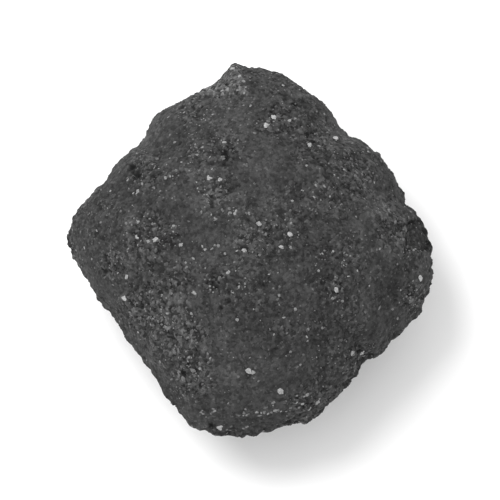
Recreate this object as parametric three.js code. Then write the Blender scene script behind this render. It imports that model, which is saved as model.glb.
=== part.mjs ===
// A charcoal briquette: one pillow of pressed char, with two domed faces that meet in a ragged seam.
// Millimetres, +Z up. The belly rests on Z = 0, and X runs across the slightly longer way.
import * as THREE from 'three';
import { SimplexNoise } from 'three/addons/math/SimplexNoise.js';

const { degToRad, radToDeg, lerp, smoothstep } = THREE.MathUtils;

// Size over everything
const LENGTH = 52;
const WIDTH = 50;
const THICKNESS = 28;
const MEAN_RADIUS = (LENGTH + WIDTH) / 4;

// The flat spot on the belly, which the briquette lies on. The lumps fade out over its edge.
const REST_RADIUS = 8;
const REST_FADE = [0.6 * REST_RADIUS, 1.4 * REST_RADIUS];

// Outline seen from above: straight stretches and blunt corners that melt into each other.
// Each faces a direction, in degrees from +X, and stands so far from the middle.
const SIDES = [
  { facing: 5, reach: 25 },
  { facing: 92, reach: 24.3 },
  { facing: 187, reach: 24.9 },
  { facing: 263, reach: 23.1 },
];
const CORNERS = [
  { facing: 58, reach: 26.9 },
  { facing: 148, reach: 28.6 },
  { facing: 236, reach: 30.4 },
  { facing: 320, reach: 27.9 },
];
const OUTLINE_SHARPNESS = 14;

// What breaks the outline: a nib and lobes stand out, and chips are missing. Directions and widths in degrees
const EDGE_MARKS = [
  { at: 3.5, width: 3, out: -0.6 },
  { at: 12, width: 4, out: 0.3 },
  { at: 30, width: 6, out: 0.3 },
  { at: 52, width: 5, out: 0.4 },
  { at: 66, width: 6.5, out: -1.35 },
  { at: 86, width: 5, out: 0.25 },
  { at: 102, width: 6.5, out: -1.2 },
  { at: 124, width: 6, out: -0.6 },
  { at: 138.5, width: 3.5, out: 0.85 },
  { at: 144.5, width: 3.8, out: 2 },
  { at: 156, width: 4, out: -0.15 },
  { at: 172, width: 7, out: 1.3 },
  { at: 184, width: 4, out: -0.2 },
  { at: 192, width: 5, out: 0.4 },
  { at: 244, width: 5, out: 0.4 },
  { at: 300, width: 5, out: 0.6 },
  { at: 338, width: 4, out: 0.6 },
];
const MARKS_START = 0.6; // share of the way from the middle to the seam

// Each face falls from its middle to the seam as (1 - share ^ FULLNESS) ^ SHOULDER.
const FULLNESS = 2.3;
const SHOULDER = 0.64;

// The seam, a blunt lip round the middle. A wave has a wavelength, a height and its own slice of the noise.
const LIP_HALF_HEIGHT = 1;
const LIP_REACH = 0.45;
const SEAM_WANDER = { wavelength: 20, height: 0.5, slice: 9 };
const LIP_SWELL = { wavelength: 10, height: 0.3, slice: 20 };
const LIP_RAGGEDNESS = { wavelength: 3.2, height: 0.24, slice: 0 };

// Lumps of the pressed faces, coarse to fine, and how much of them is left at the seam
const LUMPS = [
  { wavelength: 17, height: 0.42, slice: 0 },
  { wavelength: 7.5, height: 0.27, slice: 40 },
  { wavelength: 4.1, height: 0.33, slice: 80 },
];
const LUMPS_AT_SEAM = 0.3;
const DENTS_AT_SEAM = 0.5;
const SEAM_FADE_START = 0.93;

// Dents in the two faces, at X and Y from the middle
const TOP_DENTS = [
  { x: 15.6, y: 21.2, radius: 2.2, depth: 1.3 },
  { x: -6.5, y: 20.5, radius: 1.9, depth: 0.45 },
  { x: -14.5, y: 7, radius: 1.7, depth: 0.5 },
  { x: 3.5, y: -9, radius: 2, depth: 0.45 },
  { x: 21, y: -4, radius: 1.9, depth: 0.6 },
  { x: -7, y: -17, radius: 2.1, depth: 0.4 },
];
const BELLY_DENTS = [
  { x: 14, y: 9, radius: 2, depth: 0.6 },
  { x: -12, y: -10, radius: 2.3, depth: 0.7 },
  { x: -16, y: 12, radius: 1.8, depth: 0.5 },
  { x: 9, y: -17, radius: 2.2, depth: 0.9 },
];

// Mesh: cells across a face and up the lip, how much closer the rings lie at the seam, and where they
// have taken the outline's shape on the way out from the round middle
const FACE_CELLS = 48;
const LIP_CELLS = 3;
const RING_CROWDING = 0.12;
const OUTLINE_SHAPE_FROM = 0.8;
const SEED = 417;

// A repeatable stand-in for Math.random
function seededRandom(seed) {
  let state = seed;
  return () => {
    state = (state * 1664525 + 1013904223) % 4294967296;
    return state / 4294967296;
  };
}

const noise = new SimplexNoise({ random: seededRandom(SEED) });

// A bell of height 1 that has faded out at about twice its width
function bell(distance, width) {
  return Math.exp(-((distance / width) ** 2));
}

// Distance from the middle to the outline, without its nib and chips
function outlineRadius(angle) {
  let sum = 0;
  for (const { facing, reach } of [...SIDES, ...CORNERS]) {
    const towards = Math.max(0, Math.cos(angle - degToRad(facing)));
    sum += (towards / reach) ** OUTLINE_SHARPNESS;
  }
  return sum ** (-1 / OUTLINE_SHARPNESS);
}

// How far the nib and lobes stand out of the outline, or chips are missing from it
function edgeMark(angle) {
  let out = 0;
  for (const mark of EDGE_MARKS) {
    const away = (radToDeg(angle) - mark.at + 540) % 360 - 180;
    out += mark.out * bell(away, mark.width);
  }
  return out;
}

// A wave that runs round the seam
function waveAround(wave, angle, level = 0) {
  const scale = MEAN_RADIUS / wave.wavelength;
  return wave.height * noise.noise3d(scale * Math.cos(angle), scale * Math.sin(angle), wave.slice + level);
}

// How far the lip stands out at a level from -1, its lower edge, to 1, its upper edge
function lipReach(angle, level) {
  const swell = (LIP_REACH + waveAround(LIP_SWELL, angle)) * (1 - level ** 2);
  return swell + waveAround(LIP_RAGGEDNESS, angle, level);
}

// How high a face stands above the lip, from 1 in the middle to 0 at the seam
function domeShare(share) {
  return (1 - share ** FULLNESS) ** SHOULDER;
}

// Depth of the dents at a point of one face
function dentDepth(dents, x, y) {
  let depth = 0;
  for (const dent of dents) {
    depth += dent.depth * bell(Math.hypot(x - dent.x, y - dent.y), dent.radius);
  }
  return depth;
}

// Height of the lumps at a point
function lumpHeight(point) {
  let height = 0;
  for (const lump of LUMPS) {
    const place = point.clone().divideScalar(lump.wavelength);
    height += lump.height * noise.noise3d(place.x, place.y, place.z + lump.slice);
  }
  return height;
}

// A point of the lip
function lipPoint(angle, level) {
  const radius = outlineRadius(angle) + edgeMark(angle) - LIP_REACH + lipReach(angle, level);
  const height = waveAround(SEAM_WANDER, angle) + LIP_HALF_HEIGHT * level;
  return new THREE.Vector3(radius * Math.cos(angle), radius * Math.sin(angle), height);
}

// A point of a smooth dome, above or below the seam. The belly's is a little higher, for the flat spot's cut.
function domePoint(angle, share, isTop) {
  const shaped = smoothstep(share, 0, OUTLINE_SHAPE_FROM);
  const ring = lerp(MEAN_RADIUS, outlineRadius(angle) - LIP_REACH, shaped);
  const radius = share * ring + edgeMark(angle) * smoothstep(share, MARKS_START, 1);
  const top = isTop ? THICKNESS / 2 : THICKNESS / 2 / domeShare(REST_RADIUS / MEAN_RADIUS);
  const height = LIP_HALF_HEIGHT + (top - LIP_HALF_HEIGHT) * domeShare(share);
  const seam = waveAround(SEAM_WANDER, angle) * share ** 2;
  return new THREE.Vector3(
    radius * Math.cos(angle),
    radius * Math.sin(angle),
    isTop ? seam + height : seam - height,
  );
}

// A point of a face: the dome, with lumps and dents along its outward direction that fade towards the seam
function facePoint(angle, share, isTop) {
  const point = domePoint(angle, share, isTop);
  const outward = new THREE.Vector3(
    point.x / LENGTH ** 2,
    point.y / WIDTH ** 2,
    point.z / THICKNESS ** 2,
  ).normalize();
  const atSeam = smoothstep(share, SEAM_FADE_START, 1);
  const offRest = isTop ? 1 : smoothstep(Math.hypot(point.x, point.y), ...REST_FADE);
  const lumps = lumpHeight(point) * lerp(1, LUMPS_AT_SEAM, atSeam) * offRest;
  const dents = dentDepth(isTop ? TOP_DENTS : BELLY_DENTS, point.x, point.y) * lerp(1, DENTS_AT_SEAM, atSeam);
  point.addScaledVector(outward, lumps - dents);
  if (!isTop) {
    point.z = Math.max(point.z, -THICKNESS / 2);
  }
  return point;
}

// Bends a point of the two-unit cube to the pillow. The cube's squares become rings round the middle.
function bendToPillow(cubePoint) {
  const { x, y, z } = cubePoint;
  const square = Math.max(Math.abs(x), Math.abs(y));
  const angle = Math.atan2(y, x);
  if (square === 1) {
    return lipPoint(angle, z);
  }
  const share = square + RING_CROWDING * Math.sin(Math.PI * square) / Math.PI;
  return facePoint(angle, share, z > 0);
}

// Splits each cell of the faces along the diagonal that points away from the middle, so no corner is notched
function turnDiagonalsOutwards(geometry) {
  const position = geometry.getAttribute('position');
  const index = geometry.getIndex();
  for (let first = 0; first < index.count; first += 6) {
    const [a, b, d, , c] = index.array.slice(first, first + 6);
    const slope = (position.getX(d) - position.getX(b)) * (position.getY(d) - position.getY(b));
    const quadrant = (position.getX(d) + position.getX(b)) * (position.getY(d) + position.getY(b));
    if (slope * quadrant < 0) {
      index.array.set([a, b, c, a, c, d], first);
    }
  }
}

// Brings the box round the briquette to its exact size, centred over the origin and standing on Z = 0
function fitToSize(geometry) {
  geometry.computeBoundingBox();
  const size = geometry.boundingBox.getSize(new THREE.Vector3());
  geometry.scale(LENGTH / size.x, WIDTH / size.y, THICKNESS / size.z);
  geometry.computeBoundingBox();
  const middle = geometry.boundingBox.getCenter(new THREE.Vector3());
  geometry.translate(-middle.x, -middle.y, -geometry.boundingBox.min.z);
}

// The whole briquette's surface, bent from a cube of even cells
function pillowGeometry() {
  const geometry = new THREE.BoxGeometry(2, 2, 2, FACE_CELLS, FACE_CELLS, LIP_CELLS);
  turnDiagonalsOutwards(geometry);
  const position = geometry.getAttribute('position');
  for (let i = 0; i < position.count; i += 1) {
    const bent = bendToPillow(new THREE.Vector3().fromBufferAttribute(position, i));
    position.setXYZ(i, bent.x, bent.y, bent.z);
  }
  fitToSize(geometry);
  geometry.computeVertexNormals();
  return geometry;
}

const charcoal = new THREE.MeshStandardMaterial({ color: 0x484848, roughness: 0.92, metalness: 0 });

const pillow = new THREE.Mesh(pillowGeometry(), charcoal);
pillow.name = 'briquette';

const briquette = new THREE.Group();
briquette.add(pillow);

export default briquette;
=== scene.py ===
"""The looks of a charcoal briquette: its grainy pressed skin with pale mineral flecks, camera and light.

The briquette lies on z = 0 with x across its longer way. Points are worked out in millimetres, and
Blender's objects are in metres. A place on the face is given as the camera sees it: so far right of the
middle and so far up. A noise has a seed of its own wherever it is used.
"""

import math

import bmesh
import bpy
import numpy as np
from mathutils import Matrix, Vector, noise
from mathutils.bvhtree import BVHTree
from mathutils.kdtree import KDTree


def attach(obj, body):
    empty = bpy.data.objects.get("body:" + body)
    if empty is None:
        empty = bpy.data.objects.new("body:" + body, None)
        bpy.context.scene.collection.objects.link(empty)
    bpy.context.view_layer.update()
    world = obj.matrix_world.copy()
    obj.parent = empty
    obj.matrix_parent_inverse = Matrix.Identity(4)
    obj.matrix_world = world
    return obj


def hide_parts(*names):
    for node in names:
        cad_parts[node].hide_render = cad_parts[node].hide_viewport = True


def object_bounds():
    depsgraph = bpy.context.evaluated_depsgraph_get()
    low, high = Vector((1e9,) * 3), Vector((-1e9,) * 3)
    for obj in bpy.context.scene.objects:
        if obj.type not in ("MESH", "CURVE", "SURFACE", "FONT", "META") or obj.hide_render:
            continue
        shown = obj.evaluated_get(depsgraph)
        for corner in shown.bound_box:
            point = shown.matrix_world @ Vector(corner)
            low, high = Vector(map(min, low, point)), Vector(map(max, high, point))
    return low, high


MM = 0.001
NODE = "briquette"

# Seed of every random draw, and how far apart the noises of two seeds lie, in wavelengths
SEED = 28
SEED_SHIFT = Vector((7.3, 3.1, 5.7))

# Added to a length before a division by it, so that it is never zero
TINY = 1e-9

# View: the camera looks down on the face, turned so that the nib's corner is at the top of the picture.
# The lens and the sensor are in millimetres, and the picture is so wide at the briquette's middle.
VIEW_AZIMUTH = math.radians(48.4)
VIEW_ELEVATION = math.radians(74)
LENS = 200
SENSOR = 36
PICTURE_WIDTH_MM = 76
VIEW_DISTANCE_MM = PICTURE_WIDTH_MM * LENS / SENSOR

# The face that the camera sees fades out where the skin turns away from the camera, between these cosines.
FACE_ENDS = (0.1, 0.4)

# Light: the studio's brightness, and the key light's power in watts, its width and distance in metres, and
# its direction in degrees: how far past the top of the picture, and how high above the floor
STUDIO_STRENGTH = 1.06
KEY_POWER = 2.7
KEY_WIDTH = 0.34
KEY_DISTANCE = 0.6
KEY_PAST_TOP = 55
KEY_ELEVATION = 58

# Floor: half its width in metres, and its level, a hair below the belly so that the two don't flicker
FLOOR_HALF = 3
FLOOR_LEVEL_MM = -0.02

# Skin: corners of the solid nearer than this are one, the size of the skin's mesh cells, how near the floor
# the belly's flat spot is kept flat, and how high above the floor grains, flecks and pits begin
MERGE_MM = 0.001
SKIN_CELL_MM = 0.302
REST_SNAP_MM = 0.08
SPOTS_FROM_MM = 0.5

# Unevenness of the skin: wavelength and height, the share of it that smooth skin has and the share that
# coarse skin has on top
SKIN_WAVES = [(2.2, 0.08), (1.3, 0.1), (0.75, 0.09)]
SMOOTH_RELIEF = 0.5
COARSE_RELIEF = 0.8

# How coarse the skin is, from 0 to 1. Patches about so wide are fully coarse where their noise is high. On
# the face and round the seam, the skin is at least so coarse, and patches add so much to that.
ROUGH_PATCH_MM = 9
ROUGH_PATCH_FADE = (-0.1, 0.4)
FACE_ROUGHNESS = 0.2
FACE_PATCH_ROUGHNESS = 0.35
SEAM_ROUGHNESS = 0.4
SEAM_PATCH_ROUGHNESS = 0.5

# Zones of the face fade in between these shares of their radius. The edges and lines of its patches and
# creases wander: wavelength, how far a patch's edge moves, and how soft the edge is.
ZONE_FADE = (1.7, 0.3)
WANDER_MM = 1.3
PATCH_WANDER_MM = 0.45
PATCH_SOFTNESS_MM = 0.15

# Gaps between the pressed grains: wavelength and greatest depth of each size. A gap opens at one height of
# its noise, earlier in coarse skin, and is deepest at another. Smooth skin has only a share of the depth.
GAPS = [(0.85, 0.33), (1.5, 0.29)]
GAP_OPENS = 0.38
GAP_OPENS_EARLIER = 0.26
GAP_DEEPEST = 0.6
GAP_SMOOTH_SHARE = 0.1

# Fine furrows that wind over the skin: how far apart, how wide and how deep they are, and the wavelength and
# the fade of the noise that leaves them out here and there
FURROW_MM = 7
FURROW_WIDTH = 0.06
FURROW_DEPTH_MM = 0.16
FURROW_BREAK_MM = FURROW_MM * 1.3
FURROW_BREAK_FADE = (-0.05, 0.2)

# Creases of the face: the line that each follows, by its points' right and up, their width, how far they
# wander off the line, their depth, and the noise that leaves them out here and there
CREASES = [
    [(24.1, 2.4), (23.6, -0.4), (22.5, -3), (22, -5.2), (22.1, -8)],
    [(-3.4, -3.6), (-4, -5.4), (-4.4, -7.2), (-3.6, -8.8), (-2, -9.8)],
    [(0.6, -1.4), (2.6, -1), (5, -1), (7.2, -0.6), (8.2, 0.6)],
    [(-0.9, 27.4), (-0.2, 26.4), (0.3, 25.2), (0.3, 24)],
    [(22.1, -4.8), (23.6, -5.8), (26, -7.2)],
]
CREASE_WIDTH_MM = 0.45
CREASE_WANDER_MM = 0.3
CREASE_DEPTH_MM = 0.22
CREASE_BREAK_MM = 2.4
CREASE_BREAK_FADE = (-0.5, 0.1)

# Seam: how far the ragged zone and the coarse one reach above and below it, the wavelengths and heights of
# its raggedness, and the chips missing from it: how many, how near the seam they start, radius and depth
SEAM_HALF_MM = 1.3
SEAM_COARSE_MM = 3.4
SEAM_WAVES = [(1.4, 0.23), (0.8, 0.3)]
SEAM_CHIPS = 90
SEAM_CHIPS_HALF_MM = SEAM_HALF_MM * 0.6
SEAM_CHIP_RADIUS = (0.6, 1.6)
SEAM_CHIP_DEPTH = (0.15, 0.45)

# Pits: how many there are in clusters and loose, the ranges of their radius and depth, and how steep their
# sides are. Their rims are irregular: the wavelength and strength of that, and how many radii they reach.
PIT_CLUSTERS = 16
PITS_IN_CLUSTER = 5
LOOSE_PITS = 70
PIT_RADIUS = (0.3, 0.7)
PIT_DEPTH = (0.1, 0.3)
PIT_STEEPNESS = 2.5
PIT_WOBBLE_MM = 0.55
PIT_WOBBLE = 0.6
PIT_REACH = 1.6

# Pits that stand out on the face: right, up and radius. Their depth is a share of the radius. Within the
# inner share of the radius they are painted darker, a painted shade in the hole, and no grain or
# fleck lies there.
FACE_PITS = [
    (-17, 11.4, 0.9),
    (-17.9, 12.5, 0.7),
    (-3.9, 14.9, 0.65),
    (-3.6, 13.8, 0.55),
    (-4, 13.1, 0.45),
    (-2.8, 15.6, 0.45),
    (-2.7, 13.9, 0.35),
    (-5.7, 13.2, 0.4),
    (-5.6, -5.1, 0.6),
    (-5.1, -5.6, 0.5),
    (-10.2, -18.7, 0.6),
    (-8.2, -18.3, 0.5),
    (-22, -3.3, 0.5),
    (-22, -0.9, 0.4),
    (-3.3, -7.8, 0.45),
    (-4.4, -8.8, 0.4),
    (6.8, 22.2, 0.6),
    (19, -17.5, 0.5),
    (-5.8, -26.4, 0.5),
]
FACE_PIT_DEPTH = 0.6
FACE_PIT_INNER = 0.75
FACE_PIT_PAINTED_SHADE = -0.8

# Coarser patches of the face: right, up and radius
ROUGH_ZONES = [
    (-4, 25.5, 3.5),
    (-9, 21.6, 2.5),
    (4, 19.5, 3),
    (10, 16.5, 4),
    (-3.7, 15.7, 2.5),
    (-15.8, 12.2, 3),
    (15, 11.5, 4.5),
    (-5, 8.5, 3),
    (22.2, 3.3, 3),
    (1.5, 1.5, 4),
    (-15, 1.8, 4),
    (-11, -4.5, 3),
    (-21, -2, 2.5),
    (-4.8, -5, 2.5),
    (12.5, -5.5, 2.6),
    (25, -7.3, 2.4),
    (-15.5, -9, 5),
    (-11, -13.5, 5),
    (-8.8, -19.4, 3.5),
    (16.7, -16.5, 2.8),
    (8.5, -23, 2.4),
]

# Darker and paler patches of the face: right, up, radius and how much darker or paler. The last two are
# painted shade on the lip below the bottom fold.
SHADE_PATCHES = [
    (-18, 5, 8, -0.16),
    (-11, 3.5, 4, -0.1),
    (-4, -8, 3.5, -0.2),
    (0, -4, 3, -0.1),
    (12, 1.5, 6.5, -0.15),
    (6, -13, 6, -0.12),
    (13, -12, 5, -0.12),
    (-9, -12.5, 6, 0.2),
    (-15.5, -9, 4, 0.12),
    (-3.5, 5, 4, 0.17),
    (-12, 8, 3, -0.08),
    (18.5, 3.5, 3.5, 0.12),
    (20.5, 0, 2.5, 0.12),
    (12.5, -16.5, 2.5, 0.1),
    # Painted shade: the lip below the bottom fold, darker as if turned away from the light
    (-3, -28, 3.5, -0.18),
    (3, -27.5, 3.5, -0.18),
]

# Nib: a crust of coarse grains on the top corner, a triangle given by its corners' right and up, its height,
# how soft its edge is and how much paler it is
NIB_CORNERS = [(-2.3, 28.6), (-8.2, 23.4), (0.4, 23.6)]
NIB_HEIGHT_MM = 0.45
NIB_SOFTNESS_MM = 0.3
NIB_SHADE = 0.55

# Ledge, broken out of the right corner: its corners' right and up, how deep it lies, how deep the groove
# round it is, how much painted shade darkens it, and the centre, spacing and height of the rings that the
# break left
LEDGE_CORNERS = [(24, 0.1), (30, 0.1), (30, 4.4), (25.4, 4.8), (24, 3.8)]
LEDGE_DEPTH_MM = 0.5
LEDGE_GROOVE_MM = 0.42
LEDGE_PAINTED_SHADE = -0.1
LEDGE_RINGS_CENTRE = (25.3, 1.2)
LEDGE_RING_MM = 0.95
LEDGE_RING_HEIGHT_MM = 0.16

# Breaks in the edge as the camera sees it: right, up, radius and depth, or how far the edge stands out if
# that is negative. They fade out so far above and below the seam.
EDGE_BREAKS = [
    (17.2, -17.6, 1.1, 0.4),
    (0.3, 28, 0.8, 0.6),
    (-1.2, 28.2, 0.5, 0.25),
    (-2.5, 28, 0.4, -0.35),
    (-3.2, -27.8, 3.2, -0.85),
    (1.2, -27.6, 1.8, -0.35),
]
EDGE_BREAK_HALF_MM = 2.8

# Flecks that stand out on the face: right, up and the radius that each seems to have. Pale flecks seem
# larger than they are, so each has only a share of it. Larger ones are paler, and their tones vary a little.
FACE_FLECKS = [
    (3.6, 20.2, 0.6),
    (2.6, 19, 0.6),
    (6, 19.8, 0.5),
    (12.9, 17, 0.65),
    (9, 15.8, 0.45),
    (10.4, 15.8, 0.3),
    (-6.2, 10.9, 0.6),
    (-4.5, 10.7, 0.45),
    (-13, 10.9, 0.35),
    (-17.1, 8.8, 0.38),
    (-5.3, 4.8, 0.35),
    (1.5, 4, 0.5),
    (-0.9, 0, 0.6),
    (4.8, 0.4, 0.6),
    (6.2, 2.4, 0.55),
    (6.2, 0.4, 0.3),
    (-4.9, 0.8, 0.35),
    (-17.3, 2, 0.6),
    (-14.3, 1.6, 0.55),
    (-15.5, 1.2, 0.35),
    (-10.4, 0.8, 0.45),
    (-3.3, -3.3, 0.45),
    (13.3, -6.1, 0.5),
    (12.5, -7.3, 0.3),
    (14.1, -7.7, 0.3),
    (26, -4.3, 0.65),
    (4.6, -6.9, 0.3),
    (7, -9, 0.35),
    (-1.9, -10.6, 0.35),
    (-8.6, -6.5, 0.45),
    (-19.1, -7.3, 0.6),
    (-18.7, -4.1, 0.45),
    (17.1, -15.6, 0.58),
    (15.5, -15.8, 0.46),
    (-4, 16.4, 0.4),
    (-0.25, -18.45, 0.62),
    (0.3, -18.65, 0.57),
    (4.8, -21.4, 0.65),
    (8, -23.3, 0.55),
    (10.2, -23.3, 0.5),
    (-4.5, -27.1, 0.62),
    (-2.5, 27.6, 0.5),
    (-1.6, 26.5, 0.42),
    (-1, 25.7, 0.38),
    (-1.9, 24.4, 0.38),
    (-3.3, 24.5, 0.35),
    (-4.3, 24.1, 0.38),
    (-6.1, 24.3, 0.4),
    (-0.9, 23.8, 0.3),
    (7.2, -22.1, 0.3),
    (8.7, -22, 0.42),
    (7.5, -23.9, 0.3),
    (9, -24.2, 0.38),
    (3.9, -24.4, 0.4),
    (1.1, -24.6, 0.36),
    (-0.4, -25, 0.32),
]
FACE_FLECK_SHARE = 0.74
FACE_FLECK_RADIUS = (0.2, 0.46)
FACE_FLECK_TONE = (0.15, 0.31)
FACE_FLECK_VARIETY = (0.9, 1.1)

# A row of pale grains along the fold above the bottom edge: the line that it follows, how many there are,
# how far off the line they lie and the range of their radius
FOLD_LINE = [(-7, -24.8), (-1.4, -25.1), (3.8, -24.5), (7, -23.4), (9.8, -22.6)]
FOLD_FLECKS = 36
FOLD_SPREAD_MM = 0.4
FOLD_FLECK_RADIUS = (0.14, 0.32)

# Flecks all over: clusters and loose ones, and the ranges of their radius and of how pale they are
FLECK_CLUSTERS = 110
FLECKS_IN_CLUSTER = 9
LOOSE_FLECKS = 1250
FLECK_RADIUS = (0.08, 0.27)
FLECK_TONE = (0.06, 0.23)

# Clusters of pits or flecks: their radius, how much they crowd in the middle, where 0 is not at all, and the
# least distance within which a point of the skin is picked
CLUSTER_RADIUS_MM = 3
CLUSTER_CROWDING = 0.7
CLUSTER_LEAST_MM = SKIN_CELL_MM * 1.5

# Grains of char that stand a little out of the skin: how many there are, the range of their radius, the
# share of it that they have in smooth skin, and the share that coarse skin adds
GRAINS = 9000
GRAIN_RADIUS = (0.13, 0.4)
SMOOTH_GRAIN_SHARE = 0.75
COARSE_GRAIN_SHARE = 0.4

# Tone of the skin and of the grains. A grain's tone varies by e to the power of a random value in the range,
# multiplied by a spread: the first in smooth skin, the second in coarse skin.
SKIN_TONE = 0.0343
GRAIN_TONE = 0.0325
GRAIN_TONE_RANGE = (-0.7, 0.7)
GRAIN_TONE_SPREAD = (0.5, 1.9)

# Lumps: how uneven their corners are. On a lump's square of the bake map, a radius takes up this share.
LUMP_UNEVENNESS = (0.7, 1.3)
LUMP_BAKE_SHARE = 0.35

# How much of its half of the bake map each dome's disc fills
DOME_BAKE_SHARE = 0.93


def millimetres(mesh):
    """The vertices and their normals as arrays, the vertices in millimetres."""
    points = np.empty(len(mesh.vertices) * 3)
    mesh.vertices.foreach_get("co", points)
    normals = np.empty(len(mesh.vertices) * 3)
    mesh.vertices.foreach_get("normal", normals)
    return points.reshape(-1, 3) / MM, normals.reshape(-1, 3)


def keep_values(mesh, **values):
    """Keeps values at the mesh's points by name, for its material."""
    for name, numbers in values.items():
        mesh.attributes.new(name, "FLOAT", "POINT").data.foreach_set("value", numbers)


def put_in_scene(name, data):
    """A new object with this mesh, light or camera."""
    thing = bpy.data.objects.new(name, data)
    bpy.context.scene.collection.objects.link(thing)
    return thing


def smooth_noise(points, wavelength, seed):
    """Noise of one wavelength at each point, from about -1 to 1."""
    shift = SEED_SHIFT * seed
    return np.array([noise.noise(Vector(p) / wavelength + shift) for p in points])


def smooth_step(low, high, value):
    """0 at low, 1 at high, held beyond them and smooth between."""
    share = np.clip((value - low) / (high - low), 0, 1)
    return share * share * (3 - 2 * share)


def view_axes():
    """The picture's right and up directions, and the one from the briquette back to the camera."""
    back = Vector((
        math.sin(VIEW_AZIMUTH) * math.cos(VIEW_ELEVATION),
        -math.cos(VIEW_AZIMUTH) * math.cos(VIEW_ELEVATION),
        math.sin(VIEW_ELEVATION),
    ))
    across = Vector((math.cos(VIEW_AZIMUTH), math.sin(VIEW_AZIMUTH), 0))
    return across, back.cross(across), back


def even_skin(node):
    """A copy of the solid's surface, rounded between its facets and cut into small even cells."""
    mesh = node.data.copy()
    merged = bmesh.new()
    merged.from_mesh(mesh)
    bmesh.ops.remove_doubles(merged, verts=merged.verts, dist=MERGE_MM * MM)
    merged.to_mesh(mesh)
    merged.free()
    rough = put_in_scene("rough_skin", mesh)
    rounding = rough.modifiers.new("rounding", "SUBSURF")
    rounding.levels = 2
    cells = rough.modifiers.new("cells", "REMESH")
    cells.mode = "VOXEL"
    cells.voxel_size = SKIN_CELL_MM * MM
    depsgraph = bpy.context.evaluated_depsgraph_get()
    skin_mesh = bpy.data.meshes.new_from_object(rough.evaluated_get(depsgraph))
    bpy.data.objects.remove(rough)
    skin_mesh.name = "briquette_skin"
    return skin_mesh


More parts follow.
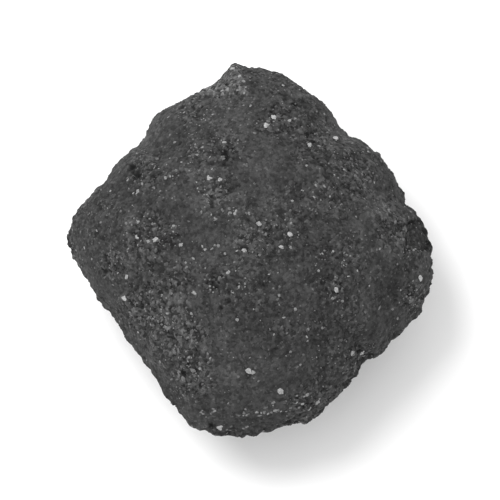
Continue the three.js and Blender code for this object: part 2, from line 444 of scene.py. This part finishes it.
class Surface:
    """The skin's points, with ways to find spots on it."""

    def __init__(self, mesh, middle):
        self.points, self.normals = millimetres(mesh)
        self.middle = np.array(middle) / MM
        self.tree = KDTree(len(self.points))
        for i, point in enumerate(self.points):
            self.tree.insert(point, i)
        self.tree.balance()
        self.shell = BVHTree.FromPolygons(
            [Vector(p) for p in self.points],
            [tuple(polygon.vertices) for polygon in mesh.polygons],
        )
        self.chance = np.random.default_rng(SEED)
        across, upwards, back = (np.array(axis) for axis in view_axes())
        off_middle = self.points - self.middle
        nearness = VIEW_DISTANCE_MM / (VIEW_DISTANCE_MM - off_middle @ back)
        self.right = off_middle @ across * nearness
        self.up = off_middle @ upwards * nearness
        self.facing = smooth_step(*FACE_ENDS, self.normals @ back)
        self.wander = smooth_noise(self.points, WANDER_MM, seed=52)
        self.rough = self.roughness()
        # The insides of the face's pits: no grain or fleck lies there, and painted shade darkens them
        insides = [self.zone(right, up, radius * FACE_PIT_INNER) for right, up, radius in FACE_PITS]
        self.pitted = np.max(insides, axis=0) * self.facing

    def zone(self, right, up, radius):
        """1 in the middle of a round zone of the face, fading to 0 outside it."""
        away = np.hypot(self.right - right, self.up - up) / radius
        return smooth_step(*ZONE_FADE, away)

    def roughness(self):
        """How coarse the skin is at each point, from 0 to 1."""
        patches = smooth_step(*ROUGH_PATCH_FADE, smooth_noise(self.points, ROUGH_PATCH_MM, seed=12))
        zones = FACE_ROUGHNESS + FACE_PATCH_ROUGHNESS * patches
        for right, up, radius in ROUGH_ZONES:
            zones = np.maximum(zones, self.zone(right, up, radius))
        rough = patches + (zones - patches) * self.facing
        height = self.points[:, 2] - self.middle[2]
        rim = np.exp(-((height / SEAM_COARSE_MM) ** 2))
        return np.maximum(rough, rim * (SEAM_ROUGHNESS + SEAM_PATCH_ROUGHNESS * patches))

    def shade(self):
        """How much darker or paler the skin is at each point, about 1, painted shade included."""
        shade = np.ones(len(self.points))
        for right, up, radius, change in SHADE_PATCHES:
            shade += change * self.zone(right, up, radius) * self.facing
        # Painted shade: the ledge and the insides of the face's pits are darker, as shade in these hollows
        return (shade + LEDGE_PAINTED_SHADE * self.inside(LEDGE_CORNERS)) * (1 + FACE_PIT_PAINTED_SHADE * self.pitted)

    def inside(self, corners, softness=PATCH_SOFTNESS_MM):
        """1 inside a patch of the face given by its corners in turn, 0 outside it and smooth between."""
        within = np.full(len(self.points), np.inf)
        for (x0, y0), (x1, y1) in zip(corners, corners[1:] + corners[:1]):
            to_left = (x1 - x0) * (self.up - y0) - (y1 - y0) * (self.right - x0)
            within = np.minimum(within, to_left / math.hypot(x1 - x0, y1 - y0))
        within = within + PATCH_WANDER_MM * self.wander
        return smooth_step(-softness, softness, within) * self.facing

    def along(self, line, width, wander):
        """1 on a wandering line of the face given by its points in turn, fading to 0 at its width."""
        away = np.full(len(self.points), np.inf)
        for (x0, y0), (x1, y1) in zip(line, line[1:]):
            run, rise = x1 - x0, y1 - y0
            share = ((self.right - x0) * run + (self.up - y0) * rise) / (run ** 2 + rise ** 2)
            share = np.clip(share, 0, 1)
            away = np.minimum(away, np.hypot(self.right - x0 - share * run, self.up - y0 - share * rise))
        return smooth_step(width, 0, np.abs(away + wander * self.wander)) * self.facing

    def near(self, centre, radius):
        """(index, distance) of each skin point within the radius of one of them."""
        return [(i, distance) for _, i, distance in self.tree.find_range(self.points[centre], radius)]

    def seen_at(self, right, up):
        """A list of the skin point that the camera sees so far right and up of the middle, or of none."""
        across, upwards, back = view_axes()
        camera = back * VIEW_DISTANCE_MM
        sight = across * right + upwards * up - camera
        hit = self.shell.ray_cast(Vector(self.middle) + camera, sight.normalized())[0]
        return [self.tree.find(hit)[1]] if hit else []

    def scattered(self, count, smooth_share=1.0):
        """Skin points chosen at random, above the flat spot and outside the face's pits.

        Fewer are in smooth places if smooth_share is below 1.
        """
        weight = smooth_share + (1 - smooth_share) * self.rough
        weight = weight * (self.points[:, 2] > SPOTS_FROM_MM) * (1 - self.pitted)
        return self.chance.choice(len(self.points), count, replace=False, p=weight / weight.sum())

    def clustered(self, clusters, in_cluster):
        """Skin points in clusters, closer together in the middle of each."""
        found = []
        for centre in self.scattered(clusters, smooth_share=0.2):
            members = self.chance.integers(in_cluster // 2, in_cluster * 3 // 2)
            for _ in range(members):
                reach = CLUSTER_RADIUS_MM * self.chance.random() ** CLUSTER_CROWDING
                around = self.near(centre, max(reach, CLUSTER_LEAST_MM))
                found.append(around[self.chance.integers(len(around))][0])
        return [i for i in found if self.points[i, 2] > SPOTS_FROM_MM]

    def between(self, limits, power=1.0, count=None):
        """Random values between two limits. A power above 1 makes low values more common."""
        return limits[0] + (limits[1] - limits[0]) * self.chance.random(count) ** power


def pit_spots(surface):
    """(skin point, radius, depth) of every pit: the face's own, small ones in clusters and loose ones."""
    spots = []
    for right, up, radius in FACE_PITS:
        spots += [(centre, radius, radius * FACE_PIT_DEPTH) for centre in surface.seen_at(right, up)]
    others = surface.clustered(PIT_CLUSTERS, PITS_IN_CLUSTER)
    others += list(surface.scattered(LOOSE_PITS))
    for centre in others:
        spots.append((centre, surface.between(PIT_RADIUS, power=2), surface.between(PIT_DEPTH)))
    return spots


def sink_pits(surface, depth):
    """Deepens the depths where irregular pits are deeper."""
    wobble = smooth_noise(surface.points, PIT_WOBBLE_MM, seed=1)
    for centre, radius, deepest in pit_spots(surface):
        for i, distance in surface.near(centre, radius * PIT_REACH):
            share = distance / radius * (1 + PIT_WOBBLE * wobble[i])
            if share < 1:
                depth[i] = max(depth[i], deepest * (1 - share ** PIT_STEEPNESS))


def gaps(surface):
    """Depth of the irregular gaps between grains, deeper and more of them where the skin is coarse."""
    depth = np.zeros(len(surface.points))
    for number, (wavelength, deepest) in enumerate(GAPS):
        waves = smooth_noise(surface.points, wavelength, seed=11 + 20 * number)
        open_share = smooth_step(GAP_OPENS - GAP_OPENS_EARLIER * surface.rough, GAP_DEEPEST, waves)
        depth_share = GAP_SMOOTH_SHARE + (1 - GAP_SMOOTH_SHARE) * surface.rough
        depth = np.maximum(depth, deepest * open_share * depth_share)
    return depth


def furrows(surface):
    """Depth of the winding furrows, which follow the lines where a slow noise is zero."""
    on_line = smooth_step(FURROW_WIDTH, 0, np.abs(smooth_noise(surface.points, FURROW_MM, seed=50)))
    here = smooth_step(*FURROW_BREAK_FADE, smooth_noise(surface.points, FURROW_BREAK_MM, seed=51))
    return FURROW_DEPTH_MM * on_line * here


def creases(surface):
    """Depth of the creases of the face, whose lines wander a little and fade here and there."""
    here = smooth_step(*CREASE_BREAK_FADE, smooth_noise(surface.points, CREASE_BREAK_MM, seed=53))
    lines = [surface.along(line, CREASE_WIDTH_MM, CREASE_WANDER_MM) for line in CREASES]
    return CREASE_DEPTH_MM * np.max(lines, axis=0) * here


def ledge_relief(surface, ledge):
    """Height of the ledge's floor against the face round it, with the rings that the break left."""
    right, up = LEDGE_RINGS_CENTRE
    turns = np.hypot(surface.right - right, surface.up - up) / LEDGE_RING_MM
    return ledge * (LEDGE_RING_HEIGHT_MM * np.cos(2 * math.pi * turns) - LEDGE_DEPTH_MM)


def summed_waves(points, waves, first_seed):
    """The sum of noises of several wavelengths and heights, each with the next seed."""
    return sum(
        height * smooth_noise(points, wavelength, first_seed + number)
        for number, (wavelength, height) in enumerate(waves)
    )


def ragged_seam(surface):
    """How far each point moves level outwards: the lip crumbles, with chips and larger breaks in it."""
    height = surface.points[:, 2] - surface.middle[2]
    at_seam = np.exp(-((height / SEAM_HALF_MM) ** 2))
    out = summed_waves(surface.points, SEAM_WAVES, first_seed=20)
    lip = np.flatnonzero(np.abs(height) < SEAM_CHIPS_HALF_MM)
    for centre in surface.chance.choice(lip, SEAM_CHIPS):
        radius = surface.between(SEAM_CHIP_RADIUS, power=1.5)
        depth = surface.between(SEAM_CHIP_DEPTH)
        for i, distance in surface.near(centre, radius):
            out[i] -= depth * (1 - (distance / radius) ** 2)
    broken = -sum(depth * surface.zone(right, up, radius) for right, up, radius, depth in EDGE_BREAKS)
    return out * at_seam + broken * np.exp(-((height / EDGE_BREAK_HALF_MM) ** 2))


def weather_skin(mesh, surface):
    """Moves the skin's points to its real unevenness, and keeps what the material needs to know at each."""
    points, normals = surface.points, surface.normals
    relief = summed_waves(points, SKIN_WAVES, first_seed=3)
    relief *= SMOOTH_RELIEF + COARSE_RELIEF * surface.rough
    nib = surface.inside(NIB_CORNERS, NIB_SOFTNESS_MM)
    ledge = surface.inside(LEDGE_CORNERS)
    relief += NIB_HEIGHT_MM * nib + ledge_relief(surface, ledge)
    sunk = np.maximum.reduce([gaps(surface), furrows(surface), creases(surface)])
    # The groove is deepest half way down the ledge's edge
    sunk += LEDGE_GROOVE_MM * 4 * ledge * (1 - ledge)
    sink_pits(surface, sunk)
    level_out = points - surface.middle
    level_out[:, 2] = 0
    level_out /= np.linalg.norm(level_out, axis=1)[:, None] + TINY
    moved = points + normals * (relief - sunk)[:, None] + level_out * ragged_seam(surface)[:, None]
    resting = (points[:, 2] < REST_SNAP_MM) & (relief - sunk > -REST_SNAP_MM)
    moved[resting, 2] = 0
    moved[:, 2] = np.maximum(moved[:, 2], 0)
    mesh.vertices.foreach_set("co", (moved * MM).ravel())
    shade = surface.shade() * (1 + NIB_SHADE * nib)
    # The material paints shade from these: darker where sunk or low, paler where the relief is high
    keep_values(mesh, height=relief, pit=sunk, rough=surface.rough, shade=shade)
    mesh.polygons.foreach_set("use_smooth", np.ones(len(mesh.polygons), bool))
    mesh.update()


def dome_bake_map(mesh, middle):
    """Lays each dome out flat as a disc, the upper one on the left and the lower one on the right."""
    points, _ = millimetres(mesh)
    half = (points.max(0) - points.min(0)) / 2
    towards = (points - middle) / half
    towards /= np.linalg.norm(towards, axis=1)[:, None]
    turn = np.arctan2(towards[:, 1], towards[:, 0])
    corners = np.empty(len(mesh.loops), int)
    mesh.loops.foreach_get("vertex_index", corners)
    faces = np.empty(len(mesh.polygons) * 3)
    mesh.polygons.foreach_get("center", faces)
    totals = np.empty(len(mesh.polygons), int)
    mesh.polygons.foreach_get("loop_total", totals)
    upper = np.repeat(faces[2::3] / MM > middle[2], totals)
    from_top = np.arccos(np.clip(towards[corners, 2], -1, 1))
    reach = np.where(upper, from_top, math.pi - from_top) / (math.pi / 2) * DOME_BAKE_SHARE
    u = np.where(upper, 0.25, 0.75) + 0.25 * reach * np.cos(turn[corners])
    v = 0.5 + 0.5 * reach * np.sin(turn[corners])
    bake = mesh.uv_layers.new(name="OFBake")
    bake.data.foreach_set("uv", np.column_stack([u, v]).ravel())


def make_skin(node, middle):
    """The briquette's skin as a piece that stands for the solid."""
    mesh = even_skin(node)
    surface = Surface(mesh, middle)
    weather_skin(mesh, surface)
    dome_bake_map(mesh, surface.middle)
    mesh.materials.clear()
    mesh.materials.append(charcoal_material())
    return put_in_scene("briquette_skin", mesh)


def ball_shape(detail):
    """Corners and triangles of a ball with few sides."""
    ball = bmesh.new()
    bmesh.ops.create_icosphere(ball, subdivisions=detail, radius=1)
    corners = np.array([v.co[:] for v in ball.verts])
    triangles = np.array([[v.index for v in face.verts] for face in ball.faces])
    ball.free()
    return corners, triangles


class Lumps:
    """Gathers irregular lumps that are set in the skin, to make one piece of them."""

    def __init__(self, surface, flatness):
        self.surface = surface
        self.flatness = flatness
        self.vertices = []
        self.faces = []
        self.tones = []
        self.plan = []

    def add(self, centres, radii, tones, detail, sunk_share, longest=1.5):
        """Lumps at these skin points, sunk by a share of the radius, stretched and turned at random."""
        surface, chance = self.surface, self.surface.chance
        count = len(centres)
        corners, triangles = ball_shape(detail)
        shape = corners * chance.uniform(*LUMP_UNEVENNESS, (count, len(corners), 1))
        longer = chance.uniform(1, longest, count)
        size = np.stack([longer, 1 / np.sqrt(longer), np.full(count, self.flatness)], 1) * radii[:, None]
        normal = surface.normals[centres]
        side = np.cross(normal, chance.normal(size=(count, 3)))
        side /= np.linalg.norm(side, axis=1)[:, None]
        axes = np.stack([side, np.cross(normal, side), normal], 1)
        place = surface.points[centres] - normal * (radii * sunk_share)[:, None]
        first = sum(len(vertices) for vertices in self.vertices)
        turned = np.einsum("nkc,ncd->nkd", shape * size[:, None], axes)
        self.vertices.append((turned + place[:, None]).reshape(-1, 3))
        first_of_each = first + np.arange(count) * len(corners)
        self.faces.append((triangles + first_of_each[:, None, None]).reshape(-1, 3))
        self.tones.append(np.repeat(tones, len(corners)))
        self.plan.append(shape[:, :, :2] * LUMP_BAKE_SHARE)

    def make(self, name, material):
        """The piece. Its bake map has a square for each lump, seen from above it."""
        mesh = bpy.data.meshes.new(name)
        faces = np.concatenate(self.faces)
        mesh.from_pydata(np.concatenate(self.vertices) * MM, [], faces.tolist())
        keep_values(mesh, tone=np.concatenate(self.tones))
        squares = math.ceil(math.sqrt(sum(len(plan) for plan in self.plan)))
        flat, number = [], 0
        for plan in self.plan:
            numbers = np.arange(number, number + len(plan))
            place = np.stack([numbers % squares, numbers // squares], 1) + 0.5
            flat.append(((place[:, None] + plan) / squares).reshape(-1, 2))
            number += len(plan)
        bake = mesh.uv_layers.new(name="OFBake")
        bake.data.foreach_set("uv", np.concatenate(flat)[faces.ravel()].ravel())
        mesh.materials.append(material)
        mesh.update()
        return put_in_scene(name, mesh)


def make_grains(surface):
    """Dark grains of char, pressed into the skin so that only their tops stand out."""
    grains = Lumps(surface, flatness=0.65)
    centres = surface.scattered(GRAINS, smooth_share=0.15)
    rough = surface.rough[centres]
    radii = surface.between(GRAIN_RADIUS, power=1.8, count=GRAINS)
    radii *= SMOOTH_GRAIN_SHARE + COARSE_GRAIN_SHARE * rough
    spread = GRAIN_TONE_SPREAD[0] + (GRAIN_TONE_SPREAD[1] - GRAIN_TONE_SPREAD[0]) * rough
    variety = np.exp(spread * surface.between(GRAIN_TONE_RANGE, count=GRAINS))
    # Grains take on the skin's patches and its painted shade
    tones = GRAIN_TONE * variety * surface.shade()[centres]
    grains.add(centres, radii, tones, detail=1, sunk_share=0.38)
    return grains.make("char_grains", grain_material())


def fold_centres(surface):
    """Skin points along the fold above the bottom edge, a little to both sides of its line."""
    line = np.array(FOLD_LINE)
    found = []
    for _ in range(FOLD_FLECKS):
        along = surface.chance.random() * (len(line) - 1)
        piece = int(along)
        place = line[piece] + (line[piece + 1] - line[piece]) * (along - piece)
        found += surface.seen_at(*(place + surface.chance.normal(size=2) * FOLD_SPREAD_MM))
    return np.array(found)


def add_face_flecks(surface, flecks):
    """Adds the flecks that stand out on the face, rounder and less deeply set than the others."""
    centres = []
    radii = []
    for right, up, radius in FACE_FLECKS:
        for centre in surface.seen_at(right, up):
            centres.append(centre)
            radii.append(radius * FACE_FLECK_SHARE)
    tones = np.interp(radii, FACE_FLECK_RADIUS, FACE_FLECK_TONE)
    tones *= surface.between(FACE_FLECK_VARIETY, count=len(centres))
    flecks.add(np.array(centres), np.array(radii), tones, detail=2, sunk_share=0.1, longest=1.25)


def make_flecks(surface):
    """Pale mineral grains set in the skin: the ones that stand out on the face, and small ones all over."""
    flecks = Lumps(surface, flatness=0.55)
    add_face_flecks(surface, flecks)
    fold = fold_centres(surface)
    radii = surface.between(FOLD_FLECK_RADIUS, count=len(fold))
    tones = surface.between(FLECK_TONE, count=len(fold))
    flecks.add(fold, radii, tones, detail=1, sunk_share=0.24)
    others = surface.clustered(FLECK_CLUSTERS, FLECKS_IN_CLUSTER)
    others = np.array(others + list(surface.scattered(LOOSE_FLECKS, smooth_share=0.3)))
    radii = surface.between(FLECK_RADIUS, power=2, count=len(others))
    tones = surface.between(FLECK_TONE, power=1.5, count=len(others))
    flecks.add(others, radii, tones, detail=1, sunk_share=0.24)
    return flecks.make("mineral_flecks", mineral_material())


class Nodes:
    """Adds and links the nodes of one material."""

    def __init__(self, name):
        self.material = bpy.data.materials.new(name)
        self.material.use_nodes = True
        self.tree = self.material.node_tree
        self.shader = self.tree.nodes["Principled BSDF"]

    def add(self, kind, **inputs):
        """A node with inputs that are values or other nodes' sockets."""
        node = self.tree.nodes.new(kind)
        for name, value in inputs.items():
            self.put(node.inputs[name], value)
        return node

    def put(self, socket, value):
        """Links a socket to another, or sets it to a value."""
        if isinstance(value, bpy.types.NodeSocket):
            self.tree.links.new(value, socket)
        else:
            socket.default_value = value

    def math(self, operation, first, second):
        """The result of a sum on two values."""
        node = self.tree.nodes.new("ShaderNodeMath")
        node.operation = operation
        self.put(node.inputs[0], first)
        self.put(node.inputs[1], second)
        return node.outputs[0]

    def times(self, *factors):
        """The product of several values."""
        product = factors[0]
        for factor in factors[1:]:
            product = self.math("MULTIPLY", product, factor)
        return product

    def ramp(self, value, given, wanted):
        """Maps a value from the given range to the wanted one, and holds it there."""
        node = self.add("ShaderNodeMapRange", Value=value)
        for name, number in zip(("From Min", "From Max", "To Min", "To Max"), (*given, *wanted)):
            node.inputs[name].default_value = number
        return node.outputs["Result"]

    def swing(self, value, spread, least=0.2):
        """A factor that varies about 1 as the value does about a half, by so much, down to the least one."""
        around = self.math("MULTIPLY", self.math("SUBTRACT", value, 0.5), spread)
        return self.math("MAXIMUM", self.math("ADD", around, 1), least)

    def object_place(self):
        """The place on the object, in metres."""
        return self.tree.nodes.new("ShaderNodeTexCoord").outputs["Object"]

    def noise(self, place, size_mm, detail=2.0, roughness=0.5):
        """Smooth noise whose lumps are about so many millimetres across."""
        node = self.add("ShaderNodeTexNoise", Vector=place, Scale=1 / (size_mm * MM))
        node.inputs["Detail"].default_value = detail
        node.inputs["Roughness"].default_value = roughness
        return node.outputs["Fac"]

    def clouds(self, place, size_mm, wanted, **looks):
        """Smooth noise that fills the wanted range. Its looks are its detail and its roughness."""
        return self.ramp(self.noise(place, size_mm, **looks), (0.3, 0.7), wanted)

    def cells(self, place, size_mm):
        """Cells so many millimetres apart: the distance from each one's middle, and its own random value."""
        node = self.add("ShaderNodeTexVoronoi", Vector=place, Scale=1 / (size_mm * MM))
        parts = self.add("ShaderNodeSeparateColor", Color=node.outputs["Color"])
        return node.outputs["Distance"], parts.outputs["Red"]

    def attribute(self, name):
        """A value that the mesh carries."""
        node = self.tree.nodes.new("ShaderNodeAttribute")
        node.attribute_name = name
        return node.outputs["Fac"]

    def grey(self, value):
        """A neutral colour of that brightness."""
        node = self.tree.nodes.new("ShaderNodeCombineColor")
        for socket in node.inputs[:3]:
            self.put(socket, value)
        return node.outputs["Color"]

    def bump(self, height, strength, distance_mm):
        """Gives the shader bumps too fine for the mesh."""
        node = self.add("ShaderNodeBump", Height=height, Strength=strength, Distance=distance_mm * MM)
        self.put(self.shader.inputs["Normal"], node.outputs["Normal"])

    def finish(self, tone, roughness, gloss):
        """Sets the shader's colour, roughness and gloss, and gives the material back."""
        self.put(self.shader.inputs["Base Color"], self.grey(tone))
        self.put(self.shader.inputs["Roughness"], roughness)
        self.shader.inputs["Specular IOR Level"].default_value = gloss
        return self.material


def charcoal_material():
    """Matt dark grey pressed char: sandy grain, patches, fine pale dust grains and painted shade in gaps."""
    nodes = Nodes("charcoal")
    place = nodes.object_place()
    rough = nodes.attribute("rough")
    grain_distance, grain = nodes.cells(place, 0.42)
    dust_distance, dust = nodes.cells(place, 0.55)
    coarse = nodes.ramp(rough, (0, 1), (0.98, 1.12))
    grainy = nodes.swing(grain, nodes.ramp(rough, (0, 1), (0.55, 1.6)))
    sand = nodes.noise(place, 0.8, detail=3, roughness=0.7)
    sandy = nodes.swing(sand, nodes.ramp(rough, (0, 1), (1.1, 3)))
    cloudy = nodes.clouds(place, 2.2, (0.64, 1.38), detail=3, roughness=0.7)
    patchy = nodes.ramp(nodes.noise(place, 7), (0.35, 0.65), (0.8, 1.2))
    # Painted shade and light: darker where the relief is low, paler where it is high
    painted_relief_shading = nodes.ramp(nodes.attribute("height"), (-0.25, 0.25), (0.75, 1.25))
    # Painted shade: darker where the skin is sunk, in gaps, furrows, creases, pits and the ledge's groove
    painted_hollow_shade = nodes.ramp(nodes.attribute("pit"), (0.03, 0.4), (1, 0.35))
    # The skin's patches, with painted shade in the pits, in the ledge and on the fold's lip
    shade = nodes.attribute("shade")
    char = nodes.times(SKIN_TONE, shade, coarse, grainy, sandy, cloudy, patchy, painted_relief_shading, painted_hollow_shade)
    dust_shape = nodes.ramp(dust_distance, (0.16, 0.3), (1, 0))
    dust_tone = nodes.ramp(dust, (0.7, 1), (0, 0.12))
    dust_share = nodes.ramp(rough, (0, 1), (0.3, 1.5))
    tone = nodes.math("ADD", char, nodes.times(dust_shape, dust_tone, dust_share))
    fine_sand = nodes.noise(place, 0.3, detail=4, roughness=0.75)
    height = nodes.math("SUBTRACT", fine_sand, nodes.times(grain_distance, 0.5))
    nodes.bump(height, strength=0.9, distance_mm=0.15)
    return nodes.finish(tone, nodes.clouds(place, 0.5, (0.8, 0.95)), gloss=0.2)


def grain_material():
    """Char like the skin's, each grain of its own tone."""
    nodes = Nodes("char_grain")
    place = nodes.object_place()
    cloudy = nodes.clouds(place, 0.2, (0.7, 1.3), detail=3, roughness=0.7)
    tone = nodes.times(nodes.attribute("tone"), cloudy)
    nodes.bump(nodes.noise(place, 0.15), strength=0.7, distance_mm=0.06)
    return nodes.finish(tone, nodes.clouds(place, 0.5, (0.7, 0.9)), gloss=0.3)


def mineral_material():
    """Pale grey mineral, each fleck of its own tone, with a slight gloss on its broken sides."""
    nodes = Nodes("mineral")
    place = nodes.object_place()
    cloudy = nodes.clouds(place, 0.25, (0.65, 1.25), detail=3)
    tone = nodes.times(nodes.attribute("tone"), cloudy)
    return nodes.finish(tone, nodes.clouds(place, 0.4, (0.5, 0.75)), gloss=0.4)


def floor_material():
    """Plain white, with a very faint unevenness."""
    nodes = Nodes("floor_white")
    tone = nodes.ramp(nodes.noise(nodes.object_place(), 60), (0, 1), (0.88, 0.9))
    return nodes.finish(tone, roughness=0.9, gloss=0.2)


def make_floor():
    """A plain pale floor, wide enough to reach the horizon of any view, just under the belly's flat spot."""
    half, level = FLOOR_HALF, FLOOR_LEVEL_MM * MM
    mesh = bpy.data.meshes.new("floor")
    corners = [(-half, -half, level), (half, -half, level), (half, half, level), (-half, half, level)]
    mesh.from_pydata(corners, [], [(0, 1, 2, 3)])
    mesh.materials.append(floor_material())
    put_in_scene("floor", mesh)


def add_light(name, power, size, distance, azimuth, elevation):
    """A round soft light on the briquette. Its direction is in degrees, from +X and above the floor."""
    light = bpy.data.lights.new(name, "AREA")
    light.shape = "DISK"
    light.size = size
    light.energy = power
    turn = math.radians(azimuth)
    rise = math.radians(elevation)
    towards = Vector((math.cos(turn) * math.cos(rise), math.sin(turn) * math.cos(rise), math.sin(rise)))
    lamp = put_in_scene(name, light)
    lamp.location = towards * distance
    lamp.rotation_euler = lamp.location.to_track_quat("Z", "Y").to_euler()


def light_scene():
    """A bright even studio, with a soft key light beyond the top left of the picture."""
    world = bpy.data.worlds.new("studio")
    world.use_nodes = True
    background = world.node_tree.nodes["Background"]
    background.inputs["Color"].default_value = (1, 1, 1, 1)
    background.inputs["Strength"].default_value = STUDIO_STRENGTH
    bpy.context.scene.world = world
    top_of_picture = math.degrees(VIEW_AZIMUTH) + 90
    add_light("key", KEY_POWER, KEY_WIDTH, KEY_DISTANCE, top_of_picture + KEY_PAST_TOP, KEY_ELEVATION)
    bpy.context.scene.view_settings.view_transform = "Standard"


def make_camera(middle):
    """The camera, above and slightly towards the bottom of the picture, framed on the briquette."""
    data = bpy.data.cameras.new("camera")
    data.lens = LENS
    data.sensor_width = SENSOR
    distance = VIEW_DISTANCE_MM * MM
    camera = put_in_scene("camera", data)
    back = view_axes()[2]
    camera.location = middle + back * distance
    camera.rotation_mode = "QUATERNION"
    camera.rotation_quaternion = (-back).to_track_quat("-Z", "Y")
    data.clip_start = distance / 100
    data.clip_end = distance * 100
    bpy.context.scene.camera = camera


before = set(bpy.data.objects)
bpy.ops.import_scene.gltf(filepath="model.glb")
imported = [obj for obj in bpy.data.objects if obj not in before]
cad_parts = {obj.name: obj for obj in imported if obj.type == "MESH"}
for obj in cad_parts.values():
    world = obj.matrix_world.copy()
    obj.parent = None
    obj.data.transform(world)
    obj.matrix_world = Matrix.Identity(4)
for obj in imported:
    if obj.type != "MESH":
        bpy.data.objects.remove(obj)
cad_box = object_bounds()
middle = (cad_box[0] + cad_box[1]) / 2

skin = make_skin(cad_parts[NODE], middle)
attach(skin, "root")
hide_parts(NODE)

weathered = Surface(skin.data, middle)
for piece in (make_grains(weathered), make_flecks(weathered)):
    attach(piece, "root")

make_floor()
light_scene()
make_camera(middle)
